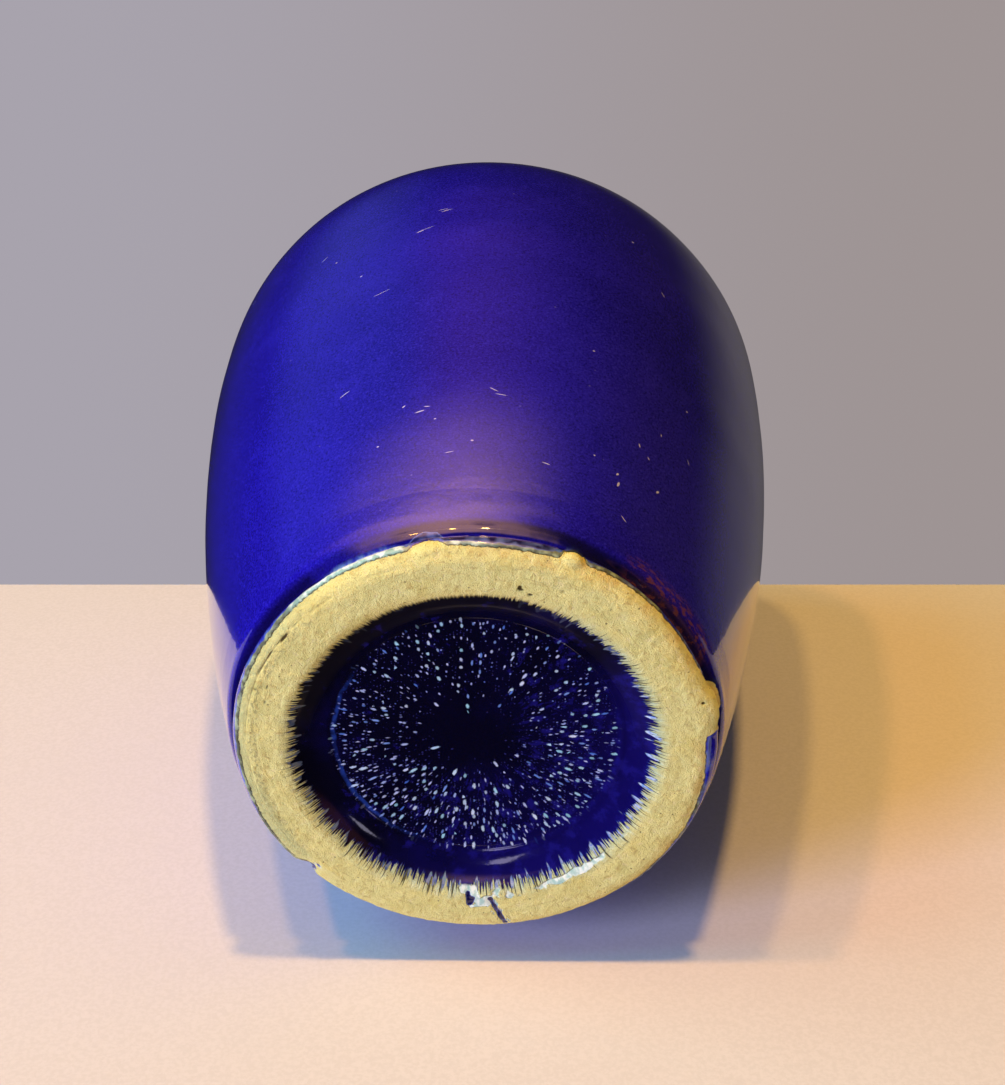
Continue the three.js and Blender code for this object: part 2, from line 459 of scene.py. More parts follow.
# notch with a glaze pocket, a pale blob and a ridge of clay
notch = spot(135.4, 52.6, 1.9, 2.5, 2.6, 4)
D -= 0.95 * notch
DR -= 0.35 * notch
navy += notch
blob = spot(134.0, 49.6, 0.1, 2.3, 0.9, 3)
D += 0.10 * blob
pale += 0.60 * blob * (0.7 + 0.6 * vnoise(R * CX / 1.2, R * CY / 1.2, 0.4, 60))
navy += 0.62 * spot(134.6, 49.3, 0.05, 1.2, 0.45, 3)
D += 0.28 * spot(130.2, 48.6, 0.0, 3.0, 0.6, 3)
D -= 0.20 * spot(133.4, 47.7, 0.0, 1.2, 0.4, 3)
# a dark slanting run of glaze across the ring with a pale border
crack = stroke(83.0, 43.4, 79.7, 51.6, 0.62)
D -= 0.30 * crack
navy += 1.25 * crack * (0.80 + 0.5 * vnoise(R * CX / 1.0, R * CY / 1.0, 0.2, 56))
side = np.clip(stroke(81.7, 43.9, 78.5, 51.0, 0.36) + 0.9 * stroke(84.4, 45.0, 81.2, 50.4, 0.26), 0, 1)
pale += 0.8 * side * (0.7 + 0.5 * vnoise(R * CX / 1.1, R * CY / 1.1, 0.9, 57))
D += 0.07 * side
# a sunk dark nick with a pale lip beside it, in a turquoise patch
nick = np.clip(stroke(89.9, 41.9, 89.4, 45.0, 0.62) + stroke(88.3, 43.2, 88.8, 44.4, 0.60), 0, 1)
D -= 0.32 * nick
navy += 1.2 * nick
lip_line = np.clip(stroke(89.0, 45.7, 83.4, 45.0, 0.42) + 0.8 * stroke(86.5, 44.6, 84.0, 43.2, 0.6), 0, 1)
pale += 0.95 * lip_line
D += 0.08 * lip_line
ragged = 0.62 + 0.75 * fbm(R * CX / 1.6, R * CY / 1.6, 0.3, 2, 68)
pale += ragged * (0.95 * spot(85.6, 43.6, 0.0, 2.5, 1.5, 4) + 0.90 * spot(89.9, 41.2, 0.7, 3.0, 1.6, 3) + 0.85 * spot(79.6, 42.0, 0.4, 3.2, 1.6, 3))
pale += ragged * (0.85 * spot(75.5, 43.2, 0.0, 2.0, 0.9, 4) + 0.9 * spot(63.0, 42.3, 0.2, 5.2, 1.1, 4) + 1.05 * spot(52.5, 42.0, 0.3, 5.0, 1.25, 4) + 0.85 * spot(42.5, 41.9, 0.3, 4.0, 1.0, 4) + 0.5 * spot(33.0, 41.6, 0.4, 3.0, 0.8, 4))
# the glaze edge turns from turquoise to blue at the top of the ring
top_run = sstep(vert_deg, 249, 254) * (1 - sstep(vert_deg, 283, 290)) * sstep(edge_out, 0.55, 1.0) * (1 - sstep(edge_out, 2.6, 3.6))
navy += top_run * np.clip(0.80 + 0.34 * fbm(R * CX / 1.6, R * CY / 1.6, Z / 1.6, 2, 75), 0, 1)
# pits, craters and small marks
for deg, r, wide, high, deep in [
    (280.3, 44.1, 0.42, 0.62, 0.55), (280.9, 43.7, 0.55, 0.25, 0.40), (283.6, 43.0, 0.50, 0.32, 0.45),
    (342.5, 51.4, 0.38, 0.34, 0.50), (213.6, 50.2, 1.1, 0.22, 0.40), (219.5, 42.6, 0.95, 0.20, 0.22),
    (198.1, 47.8, 0.70, 0.25, 0.28), (196.2, 50.0, 0.30, 0.30, 0.32), (193.2, 47.2, 0.85, 0.22, 0.30),
    (291.4, 46.2, 0.50, 0.40, 0.18), (289.5, 46.9, 0.40, 0.30, 0.15), (278.0, 48.3, 0.60, 0.30, 0.16),
    (332.8, 43.8, 0.40, 0.40, 0.16), (186.0, 48.9, 1.2, 0.20, 0.20), (178.0, 48.2, 1.3, 0.18, 0.18),
    (170.5, 48.6, 1.5, 0.18, 0.20), (205.0, 49.0, 0.9, 0.20, 0.18), (160.0, 47.5, 1.2, 0.2, 0.16),
    (305.0, 47.5, 0.35, 0.3, 0.2), (311.0, 45.0, 0.3, 0.3, 0.2), (320.0, 49.0, 0.35, 0.25, 0.2),
    (64.0, 46.0, 0.3, 0.3, 0.12), (35.0, 47.0, 0.3, 0.3, 0.12), (110.0, 46.5, 0.35, 0.25, 0.12),
]:
    z = 0.0 if FLAT_IN_R < r < FLAT_OUT_R else float(np.interp(s_at(r, 0.3), fine_s, fine_z))
    m = spot(deg, r, z, wide, high, 3)
    D -= deep * m
    dirt += min(1.0, deep * 2.2) * m
for deg, r, size in [(272.0, 45.1, 0.62), (274.2, 48.3, 0.45), (250.0, 44.6, 0.5), (286.0, 49.2, 0.4)]:
    m, w = spot(deg, r, 0.0, size, size, 4), spot(deg, r, 0.0, size * 1.5, size * 1.5, 4)
    D += 0.10 * (w - m) - 0.10 * spot(deg, r, 0.0, size * 0.45, size * 0.45, 2)
    dirt += 0.30 * spot(deg, r, 0.0, size * 0.4, size * 0.4, 2)

# a turned line round the left of the ring, and a fainter one on the right
line_s = np.interp(np.mod(vert_deg, 360), [188, 196, 214, 231, 249, 256], [s_at(51.2, 0.5), s_at(51.0, 0.4), s_at(50.3, 0.2), s_at(50.4, 0.25), s_at(50.3, 0.2), s_at(50.0, 0.2)])
line_on = sstep(vert_deg, 190, 200) * (1 - sstep(vert_deg, 246, 254))
turned = line_on * np.exp(-(((vert_s - line_s) / 0.26) ** 2)) * (0.6 + 0.5 * vnoise(CX * 30, CY * 30, 0.1, 58))
D -= 0.17 * turned
dirt += 0.50 * turned
left_on = sstep(vert_deg, 136, 150) * (1 - sstep(vert_deg, 214, 232))
q = vert_s - S_FLAT1
line_q = np.interp(vert_deg, [130, 145, 165, 185, 205, 225], [1.0, 1.1, 1.5, 1.9, 2.0, 2.1]) + 0.12 * vnoise(CX * 7, CY * 7, 0.2, 69)
groove = left_on * np.exp(-(((q - line_q) / 0.24) ** 2)) * (0.75 + 0.35 * vnoise(CX * 26, CY * 26, 0.1, 70))
D -= 0.17 * groove
dirt += 0.42 * groove
green = left_on * sstep(q, line_q - 0.1, line_q + 0.5) * 0.9
green = np.maximum(green, sstep(vert_deg, 136, 142) * (1 - sstep(vert_deg, 160, 172)) * sstep(q, -0.6, 0.6) * (0.85 + 0.3 * fbm(R * CX / 3, R * CY / 3, 0.1, 2, 72)))
scuff = left_on * sstep(q, line_q - 2.9, line_q - 1.9) * (1 - sstep(q, line_q - 0.5, line_q - 0.2))
D -= 0.10 * scuff * np.clip(fbm(R * CX / 0.8, R * CY / 0.8, 0.5, 2, 73), 0, 1)
right_on = 1 - sstep(np.abs(np.mod(vert_deg - 356 + 180, 360) - 180), 8, 14)
faint = right_on * np.exp(-(((vert_s - s_at(48.4, 0)) / 0.3) ** 2))
D -= 0.06 * faint
dirt += 0.18 * faint

# glaze lumps low on the flare, and slack throwing rings up the body
lumps = fbm(R * CX / 7, R * CY / 7, Z / 4.0, 3, 61)
low = sstep(vert_s, S_CREASE, S_LOW) * (1 - sstep(vert_s, S_LOW + 3, S_LOW + 24))
low_right = around(vert_deg, [(0, 0.5), (200, 0.5), (235, 0.25), (285, 0.25), (300, 1.0), (335, 1.1), (350, 0.6)])
D += 0.10 * low * lumps * low_right * outside
body_w = sstep(vert_s, S_LOW, S_LOW + 14) * outside * (1 - sstep(vert_s, S_COLLAR - 12, S_COLLAR - 4))
D += body_w * ((0.015 + 0.085 * sstep(Z, 26, 70)) * vnoise(Z / 13.0, CX * 0.9, CY * 0.9, 62) + 0.16 * fbm(CX * 1.7, CY * 1.7, Z / 60, 2, 63)
               + 0.010 * fbm(R * CX / 6.5, R * CY / 6.5, Z / 6.5, 2, 64))
collar_w = sstep(vert_s, S_COLLAR - 8, S_COLLAR - 2) * outside
D += collar_w * 0.08 * fbm(CX * 2.3, CY * 2.3, Z / 8, 2, 65)
inside = vert_s > S_TOP + 12
D += np.where(inside, 0.22 * vnoise(Z / 6.0, CX * 0.8, CY * 0.8, 66) * sstep(R, 12, 30) + 0.08 * fbm(CX * 2, CY * 2, Z / 30, 2, 67), 0)

# bare patches are marked by moving the glaze edge outwards
edge_out = edge_out - 5.0 * np.clip(1.15 * lump + 1.2 * knob, 0, 1) * sstep(edge_out, -2, 2)

P = np.stack([
    (R + D * NR + DR) * CX,
    (R + D * NR + DR) * CY,
    Z + D * NZ,
], axis=1)
# nothing of the foot reaches below the bearing face by more than its grain
P[:, 2] = np.maximum(P[:, 2], -0.35)

# ---------------------------------------------------------------- mesh
faces = []
for i in range(len(row_n) - 1):
    a0, b0, na, nb = row_start[i], row_start[i + 1], row_n[i], row_n[i + 1]
    if na == nb:
        k = np.arange(na)
        k1 = (k + 1) % na
        faces.append(np.stack([a0 + k, a0 + k1, b0 + k1, b0 + k], 1))
    elif nb == 2 * na:
        k = np.arange(na)
        k1 = (k + 1) % na
        j0, j1, j2 = 2 * k, 2 * k + 1, (2 * k + 2) % nb
        faces.append(np.stack([a0 + k, b0 + j1, b0 + j0, np.full(na, -1)], 1))
        faces.append(np.stack([a0 + k, a0 + k1, b0 + j1, np.full(na, -1)], 1))
        faces.append(np.stack([a0 + k1, b0 + j2, b0 + j1, np.full(na, -1)], 1))
    else:
        k = np.arange(nb)
        k1 = (k + 1) % nb
        j0, j1, j2 = 2 * k, 2 * k + 1, (2 * k + 2) % na
        faces.append(np.stack([b0 + k, a0 + j0, a0 + j1, np.full(nb, -1)], 1))
        faces.append(np.stack([b0 + k, a0 + j1, b0 + k1, np.full(nb, -1)], 1))
        faces.append(np.stack([b0 + k1, a0 + j1, a0 + j2, np.full(nb, -1)], 1))
first = len(P)
P = np.concatenate([P, [[0, 0, RECESS_Z + RECESS_DOME], [0, 0, FLOOR_Z]]])
n0, nl, bl = row_n[0], row_n[-1], row_start[-1]
k = np.arange(n0)
faces.append(np.stack([np.full(n0, first), (k + 1) % n0, k, np.full(n0, -1)], 1))
k = np.arange(nl)
faces.append(np.stack([bl + k, bl + (k + 1) % nl, np.full(nl, first + 1), np.full(nl, -1)], 1))
F = np.concatenate(faces)
# faces look outwards: the rows run outwards on the underside, so each face is turned over
polys = [tuple(int(v) for v in f if v >= 0) for f in F]

mesh = bpy.data.meshes.new("jar_body")
mesh.from_pydata([tuple(p) for p in P * MM], [], polys)
mesh.validate()
mesh.update()
jar = bpy.data.objects.new("jar_body", mesh)
bpy.context.scene.collection.objects.link(jar)

import bmesh  # noqa: E402
bm = bmesh.new()
bm.from_mesh(mesh)
bmesh.ops.recalc_face_normals(bm, faces=bm.faces)
if bm.calc_volume(signed=True) < 0:
    bmesh.ops.reverse_faces(bm, faces=bm.faces)
bm.to_mesh(mesh)
bm.free()
mesh.polygons.foreach_set("use_smooth", [True] * len(mesh.polygons))
mesh.update()


def attribute(name, values):
    a = mesh.attributes.new(name, "FLOAT", "POINT")
    v = np.zeros(len(P), np.float32)
    v[: len(values)] = values
    a.data.foreach_set("value", v)


far = np.full(len(R), -20.0)
attribute("edge_out", np.where(outside, np.clip(edge_out, -20, 20), 20.0))
attribute("edge_in", np.where(vert_s < S_FLAT1, np.clip(edge_in, -20, 20), far))
attribute("teeth", around(vert_deg, TEETH))
attribute("halo", around(vert_deg, HALO))
attribute("streak", around(vert_deg, STREAK))
attribute("bead", np.clip(bead_h + 0.2 * fbm(CX * 12, CY * 12, 5.5, 2, 71), 0, 1))
attribute("blotch", fbm(R * CX / 2.6, R * CY / 2.6, Z / 2.6, 2, 76))
attribute("dirt", np.clip(dirt, 0, 1))
attribute("navy", np.clip(navy, 0, 1.5))
attribute("pale", np.clip(pale, 0, 1.2))
attribute("green", np.clip(green, 0, 1))
attribute("scuff", np.clip(scuff, 0, 1))
attribute("lowside", np.where(outside, 1.0, 0.0))


# ---------------------------------------------------------------- material helpers
class Graph:
    def __init__(self, tree):
        self.tree = tree
        tree.nodes.clear()

    def new(self, kind, **props):
        n = self.tree.nodes.new(kind)
        for k, v in props.items():
            setattr(n, k, v)
        return n

    def put(self, socket, value):
        if value is None:
            return
        if hasattr(value, "is_output"):
            self.tree.links.new(value, socket)
        elif isinstance(value, (tuple, list)) and len(value) == 3 and socket.type == "RGBA":
            socket.default_value = (*value, 1.0)
        else:
            socket.default_value = value

    def math(self, op, a, b=None, c=None, clamp=False):
        n = self.new("ShaderNodeMath", operation=op, use_clamp=clamp)
        for s_, v in zip(n.inputs, (a, b, c)):
            self.put(s_, v)
        return n.outputs[0]

    def vmath(self, op, a, b=None, scale=None):
        n = self.new("ShaderNodeVectorMath", operation=op)
        self.put(n.inputs[0], a)
        self.put(n.inputs[1], b)
        if scale is not None:
            self.put(n.inputs["Scale"], scale)
        return n.outputs["Value"] if op in ("LENGTH", "DOT_PRODUCT", "DISTANCE") else n.outputs["Vector"]

    def xyz(self, x, y, z):
        n = self.new("ShaderNodeCombineXYZ")
        for s_, v in zip(n.inputs, (x, y, z)):
            self.put(s_, v)
        return n.outputs[0]

    def split(self, v):
        n = self.new("ShaderNodeSeparateXYZ")
        self.put(n.inputs[0], v)
        return n.outputs

    def rgb(self, c):
        n = self.new("ShaderNodeSeparateColor")
        self.put(n.inputs[0], c)
        return n.outputs

    def fmix(self, fac, a, b):
        n = self.new("ShaderNodeMix", data_type="FLOAT", clamp_factor=True)
        self.put(n.inputs[0], fac)
        self.put(n.inputs[2], a)
        self.put(n.inputs[3], b)
        return n.outputs[0]

    def smooth(self, x, lo, hi, a=0.0, b=1.0):
        n = self.new("ShaderNodeMapRange", interpolation_type="SMOOTHSTEP")
        self.put(n.inputs["Value"], x)
        self.put(n.inputs["From Min"], lo)
        self.put(n.inputs["From Max"], hi)
        self.put(n.inputs["To Min"], a)
        self.put(n.inputs["To Max"], b)
        return n.outputs["Result"]

    def remap(self, x, lo, hi, a=0.0, b=1.0):
        n = self.new("ShaderNodeMapRange", interpolation_type="LINEAR", clamp=True)
        self.put(n.inputs["Value"], x)
        self.put(n.inputs["From Min"], lo)
        self.put(n.inputs["From Max"], hi)
        self.put(n.inputs["To Min"], a)
        self.put(n.inputs["To Max"], b)
        return n.outputs["Result"]

    def mix(self, fac, a, b, blend="MIX"):
        n = self.new("ShaderNodeMix", data_type="RGBA", blend_type=blend, clamp_factor=True)
        self.put(n.inputs[0], fac)
        self.put(n.inputs[6], a)
        self.put(n.inputs[7], b)
        return n.outputs[2]

    def noise(self, vec, scale=1.0, detail=2.0, rough=0.5, dist=0.0):
        n = self.new("ShaderNodeTexNoise")
        self.put(n.inputs["Vector"], vec)
        n.inputs["Scale"].default_value = scale
        n.inputs["Detail"].default_value = detail
        n.inputs["Roughness"].default_value = rough
        n.inputs["Distortion"].default_value = dist
        return n.outputs["Fac"]

    def voronoi(self, vec, scale=1.0, randomness=1.0, feature="F1"):
        n = self.new("ShaderNodeTexVoronoi", feature=feature)
        self.put(n.inputs["Vector"], vec)
        n.inputs["Scale"].default_value = scale
        n.inputs["Randomness"].default_value = randomness
        return n.outputs

    def attr(self, name):
        n = self.new("ShaderNodeAttribute", attribute_type="GEOMETRY", attribute_name=name)
        return n.outputs["Fac"]

    def ramp(self, x, stops, mode="EASE"):
        n = self.new("ShaderNodeValToRGB")
        cr = n.color_ramp
        cr.interpolation = mode
        while len(cr.elements) > 1:
            cr.elements.remove(cr.elements[-1])
        cr.elements[0].position = stops[0][0]
        cr.elements[0].color = (*stops[0][1], 1)
        for pos, col in stops[1:]:
            e = cr.elements.new(pos)
            e.color = (*col, 1)
        self.put(n.inputs[0], x)
        return n.outputs[0]


def lin(r, g, b):
    """An sRGB colour, 0 to 255, as linear light."""
    return tuple((c / 255 / 12.92) if c / 255 <= 0.04045 else ((c / 255 + 0.055) / 1.055) ** 2.4 for c in (r, g, b))


# ---------------------------------------------------------------- the glazed stoneware
def start(name):
    mat = bpy.data.materials.new(name)
    mat.use_nodes = True
    g = Graph(mat.node_tree)
    g.pos = g.vmath("SCALE", g.new("ShaderNodeTexCoord").outputs["Object"], scale=1000.0)  # millimetres
    return mat, g


def centred(g, x, gain=1.0):
    return g.math("MULTIPLY", g.math("SUBTRACT", x, 0.5), 2.0 * gain)


def cobalt(g):
    """The cobalt glaze: deep blue, mottled finely, with broad lighter and darker areas."""
    b_big = g.noise(g.pos, 0.018, 3, 0.5)
    col = g.ramp(b_big, [(0.34, (0.007, 0.0030, 0.29)), (0.52, (0.009, 0.0040, 0.35)), (0.68, (0.013, 0.006, 0.41))], "LINEAR")
    b_mid = g.noise(g.pos, 0.11, 4, 0.55, 0.5)
    col = g.mix(g.smooth(b_mid, 0.50, 0.70, 0, 0.35), col, (0.017, 0.010, 0.49))
    b_fine = g.noise(g.pos, 1.9, 3, 0.7)
    col = g.mix(g.smooth(b_fine, 0.50, 0.68, 0, 0.70), col, (0.026, 0.018, 0.55))
    col = g.mix(g.smooth(b_fine, 0.50, 0.32, 0, 0.85), col, (0.003, 0.001, 0.13))
    # a dusting of far finer specks
    fv = g.voronoi(g.pos, 0.16)
    dust = g.math("MULTIPLY", g.smooth(fv["Distance"], 0.055, 0.02), g.math("GREATER_THAN", g.rgb(fv["Color"])[1], 0.55))
    return g.mix(g.math("MULTIPLY", dust, 0.35), col, lin(120, 112, 214))


def peel(g):
    """Height of the glaze in millimetres: the soft orange peel of a thick glaze."""
    return g.math("ADD", g.math("MULTIPLY", g.noise(g.pos, 0.55, 2, 0.5), PEEL), g.math("MULTIPLY", g.noise(g.pos, 2.2, 2, 0.5), PEEL_FINE))


PEEL, PEEL_FINE = 0.012, 0.0022
GLAZE_ROUGH = (0.15, 0.20)


def glazed_shader(g, colour, rough, height, coat, specular=0.35):
    bump = g.new("ShaderNodeBump")
    bump.inputs["Strength"].default_value = 1.0
    bump.inputs["Distance"].default_value = 0.001
    g.put(bump.inputs["Height"], height)
    bsdf = g.new("ShaderNodeBsdfPrincipled")
    g.put(bsdf.inputs["Base Color"], colour)
    g.put(bsdf.inputs["Roughness"], rough)
    g.put(bsdf.inputs["Normal"], bump.outputs[0])
    bsdf.inputs["IOR"].default_value = 1.5
    bsdf.inputs["Specular IOR Level"].default_value = specular
    g.put(bsdf.inputs["Coat Weight"], coat)
    bsdf.inputs["Coat Roughness"].default_value = 0.04
    bsdf.inputs["Coat IOR"].default_value = 1.45
    g.put(bsdf.inputs["Coat Normal"], bump.outputs[0])
    g.put(g.new("ShaderNodeOutputMaterial").inputs["Surface"], bsdf.outputs[0])


# --- body, collar and inside
SCRATCHES = [  # angle, height, slant, half length, half width
    (259.7, 128.8, 20, 1.6, 0.16), (258.9, 129.6, 12, 1.3, 0.13), (254.7, 118.3, 25, 1.2, 0.22), (256.0, 119.3, 22, 2.2, 0.10),
    (233.9, 124.4, 35, 1.2, 0.12), (247.7, 91.8, 15, 2.4, 0.09), (240.0, 55.4, 24, 1.5, 0.13), (252.6, 43.9, 40, 0.5, 0.20),
    (255.9, 41.2, 12, 1.2, 0.22), (257.3, 42.5, -10, 0.8, 0.14), (270.5, 47.2, -32, 1.2, 0.13), (272.0, 45.6, -8, 1.4, 0.12),
    (266.6, 30.3, 0, 0.35, 0.25), (297.5, 131.0, 0, 0.42, 0.34), (304.5, 111.4, -55, 1.1, 0.14), (289.8, 69.3, 0, 0.30, 0.2),
    (312.3, 68.0, 0, 0.32, 0.22), (306.5, 51.7, -80, 0.45, 0.14), (301.7, 43.4, -70, 0.7, 0.16), (297.6, 30.5, 60, 0.5, 0.28),
    (298.1, 27.6, 80, 0.8, 0.30), (307.6, 32.7, 60, 0.65, 0.32), (314.3, 50.5, -60, 0.9, 0.09), (304.2, 41.1, -50, 0.5, 0.14),
    (292.0, 33.0, 0, 0.28, 0.2), (282.0, 25.8, -10, 1.0, 0.14), (262.0, 27.0, 10, 1.1, 0.10), (259.0, 38.0, 0, 0.28, 0.22),
    (300.6, 18.5, -40, 1.0, 0.13), (247.0, 33.0, 0, 0.3, 0.2), (243.0, 104.0, 20, 0.4, 0.25), (237.0, 118.0, 0, 0.35, 0.2),
    (20.0, 120.0, 35, 1.4, 0.12), (60.0, 90.0, -20, 1.0, 0.12), (150.0, 105.0, 15, 1.6, 0.10), (100.0, 140.0, 70, 0.7, 0.14),
    (180.0, 70.0, -35, 0.9, 0.12), (330.0, 150.0, 10, 1.2, 0.10), (125.0, 60.0, 40, 0.5, 0.2), (210.0, 145.0, -15, 1.5, 0.10),
]
body_mat, g = start("cobalt_glaze_body")
nearest = None
for deg, z, slant, long_, wide_ in SCRATCHES:
    r = body_radius(z) if z < BELLY_Z else BELLY_R
    a = math.radians(deg)
    slope = math.atan(body_slope(z)) if z < BELLY_Z else 0.0
    n_ = Vector((math.cos(a) * math.cos(slope), math.sin(a) * math.cos(slope), -math.sin(slope)))
    t_ = Vector((-math.sin(a), math.cos(a), 0.0))
    b_ = n_.cross(t_)
    sl = math.radians(slant)
    u_ = t_ * math.cos(sl) + b_ * math.sin(sl)
    w_ = n_.cross(u_)
    basis = Matrix((u_, w_, n_)).transposed()
    m_ = g.new("ShaderNodeMapping", vector_type="TEXTURE")
    g.put(m_.inputs["Vector"], g.pos)
    m_.inputs["Location"].default_value = (r * math.cos(a), r * math.sin(a), z)
    m_.inputs["Rotation"].default_value = tuple(basis.to_euler("XYZ"))
    m_.inputs["Scale"].default_value = (long_, wide_, 3.0)
    e = g.vmath("LENGTH", m_.outputs[0])
    nearest = e if nearest is None else g.math("MINIMUM", nearest, e)
scratch = g.smooth(g.math("ADD", nearest, centred(g, g.noise(g.pos, 3.5, 2, 0.6), 0.35)), 1.15, 0.55)
scratch = g.math("MULTIPLY", scratch, g.attr("lowside"))
colour = g.mix(g.math("MULTIPLY", scratch, 0.80), cobalt(g), lin(196, 190, 236))
# pale thin glaze along the lip
pz = g.split(g.pos)[2]
lip_t = g.math("MULTIPLY", g.smooth(pz, 198.3, 199.6), g.smooth(g.noise(g.pos, 0.35, 3, 0.6), 0.35, 0.65))
colour = g.mix(g.math("MULTIPLY", lip_t, 0.55), colour, lin(96, 92, 176))
rough = g.math("ADD", g.remap(g.noise(g.pos, 0.11, 4, 0.55, 0.5), 0.3, 0.7, *GLAZE_ROUGH), g.math("MULTIPLY", scratch, 0.3))
glazed_shader(g, colour, rough, peel(g), 1.0)
mesh.materials.append(body_mat)

# --- foot: bare clay, both glaze edges and the recess
foot_mat, g = start("cobalt_glaze_foot")
pos = g.pos
px, py, pz = g.split(pos)
flat = g.xyz(px, py, 0.0)
rr = g.vmath("LENGTH", flat)
ux, uy, _ = g.split(g.vmath("NORMALIZE", flat))


def ringvec(k, along, seed):
    """Coordinates in which a pattern runs in lines away from the axis: k sets how many round, along how long."""
    return g.xyz(g.math("MULTIPLY", ux, k), g.math("MULTIPLY", uy, k), g.math("MULTIPLY_ADD", rr, along, seed))


# bare clay
c_big = g.noise(pos, 0.10, 3, 0.55)
clay_col = g.ramp(c_big, [(0.30, lin(231, 217, 134)), (0.50, lin(241, 230, 152)), (0.70, lin(226, 216, 136))], "LINEAR")
c_mid = g.noise(pos, 0.55, 4, 0.6, 0.6)
clay_col = g.mix(g.smooth(c_mid, 0.54, 0.70, 0, 0.55), clay_col, lin(196, 167, 96))
clay_col = g.mix(g.smooth(c_mid, 0.44, 0.30, 0, 0.50), clay_col, lin(241, 224, 170))
c_turn = g.noise(g.xyz(g.math("MULTIPLY", ux, 7.0), g.math("MULTIPLY", uy, 7.0), g.math("MULTIPLY", rr, 2.1)), 1.0, 4, 0.6)
clay_col = g.mix(g.smooth(c_turn, 0.56, 0.70, 0, 0.35), clay_col, lin(184, 156, 94))
c_fine = g.noise(pos, 3.2, 3, 0.65)
clay_col = g.mix(g.smooth(c_fine, 0.57, 0.72, 0, 0.55), clay_col, lin(168, 140, 78))
clay_col = g.mix(g.smooth(c_fine, 0.42, 0.26, 0, 0.60), clay_col, lin(250, 242, 196))
v_out = g.voronoi(pos, 0.75)
speck = g.math("MULTIPLY", g.smooth(v_out["Distance"], 0.20, 0.09), g.math("GREATER_THAN", g.rgb(v_out["Color"])[0], 0.90))
clay_col = g.mix(g.math("MULTIPLY", speck, 0.75), clay_col, lin(104, 78, 44))
# the scuffed line and the greenish skin round the left of the ring
sc_n = g.noise(g.xyz(g.math("MULTIPLY", ux, 42.0), g.math("MULTIPLY", uy, 42.0), g.math("MULTIPLY", rr, 1.5)), 1.0, 3, 0.65)
clay_col = g.mix(g.math("MULTIPLY", g.attr("scuff"), g.smooth(sc_n, 0.47, 0.62, 0.10, 0.60)), clay_col, lin(142, 132, 88))
clay_col = g.mix(g.math("MULTIPLY", g.attr("green"), g.smooth(sc_n, 0.30, 0.66, 0.90, 0.45)), clay_col, lin(186, 188, 134))
# warmer towards the outer edge of the ring
warm = g.math("MULTIPLY", g.smooth(g.attr("edge_out"), -4.2, -0.4), g.smooth(g.noise(pos, 0.22, 2, 0.5), 0.40, 0.62))
warm = g.math("MULTIPLY", warm, g.smooth(ux, -0.5, 0.3, 0.15, 1.0))
clay_col = g.mix(g.math("MULTIPLY", warm, 0.40), clay_col, lin(214, 166, 92))
clay_col = g.mix(g.math("MULTIPLY", g.smooth(g.attr("dirt"), 0.12, 0.62), 0.92), clay_col, lin(62, 42, 24))

# feather edge of the recess glaze
edge_in_ = g.attr("edge_in")
teeth_ = g.attr("teeth")
tooth = g.smooth(g.noise(ringvec(98.0, 0.08, 3.0), 1.0, 0.6, 0.5), 0.41, 0.59, -0.95, 0.95)
tooth = g.math("ADD", tooth, g.math("MULTIPLY", centred(g, g.noise(ringvec(38.0, 0.12, 13.0), 1.0, 0.0, 0.5)), 0.9))
tooth = g.math("ADD", tooth, g.math("MULTIPLY", centred(g, g.noise(ringvec(165.0, 0.16, 9.0), 1.0, 0.0, 0.5)), 0.8))
f1 = g.math("MULTIPLY_ADD", tooth, teeth_, edge_in_)
f1 = g.math("ADD", f1, g.math("MULTIPLY", centred(g, g.noise(ringvec(7.0, 0.2, 21.0), 1.0, 1.0, 0.5)), 0.5))
soft = g.remap(teeth_, 0.25, 0.9, 0.75, 0.20)
m_in = g.smooth(f1, g.math("MULTIPLY", soft, -1.0), soft)
fringe_n = g.noise(ringvec(46.0, 0.2, 33.0), 1.0, 2, 0.6)
halo_ = g.attr("halo")
fringe = g.math("MULTIPLY", g.smooth(edge_in_, -4.4, -0.3), halo_)
fringe = g.math("MULTIPLY", fringe, g.smooth(fringe_n, 0.30, 0.60, 0.55, 1.0))
clay_col = g.mix(fringe, clay_col, g.ramp(fringe_n, [(0.34, lin(156, 174, 136)), (0.56, lin(192, 204, 166)), (0.70, lin(204, 230, 214))], "LINEAR"))
# thin dark slots between the pale bars, where the glaze ran down into turning marks
slot_n = g.math("ADD", g.noise(ringvec(100.0, 0.05, 57.0), 1.0, 1.0, 0.6), g.remap(edge_in_, -4.6, 0.8, -0.16, 0.05))
slots = g.math("MULTIPLY", g.smooth(slot_n, 0.540, 0.595), g.smooth(edge_in_, -4.4, -2.2))
clay_col = g.mix(g.math("MULTIPLY", slots, g.smooth(halo_, 0.12, 0.6, 0.0, 0.90)), clay_col, lin(66, 62, 42))
# its teeth end bluish inside, and where there is no fringe they carry painted shade, brown-grey
clay_col = g.mix(g.math("MULTIPLY", g.smooth(edge_in_, 0.5, 2.4), 0.85), clay_col, lin(112, 140, 192))
clay_col = g.mix(g.math("MULTIPLY", g.smooth(f1, -1.7, 0.1), g.math("MULTIPLY", g.math("SUBTRACT", 1.0, halo_), 0.62)), clay_col, lin(112, 96, 66))

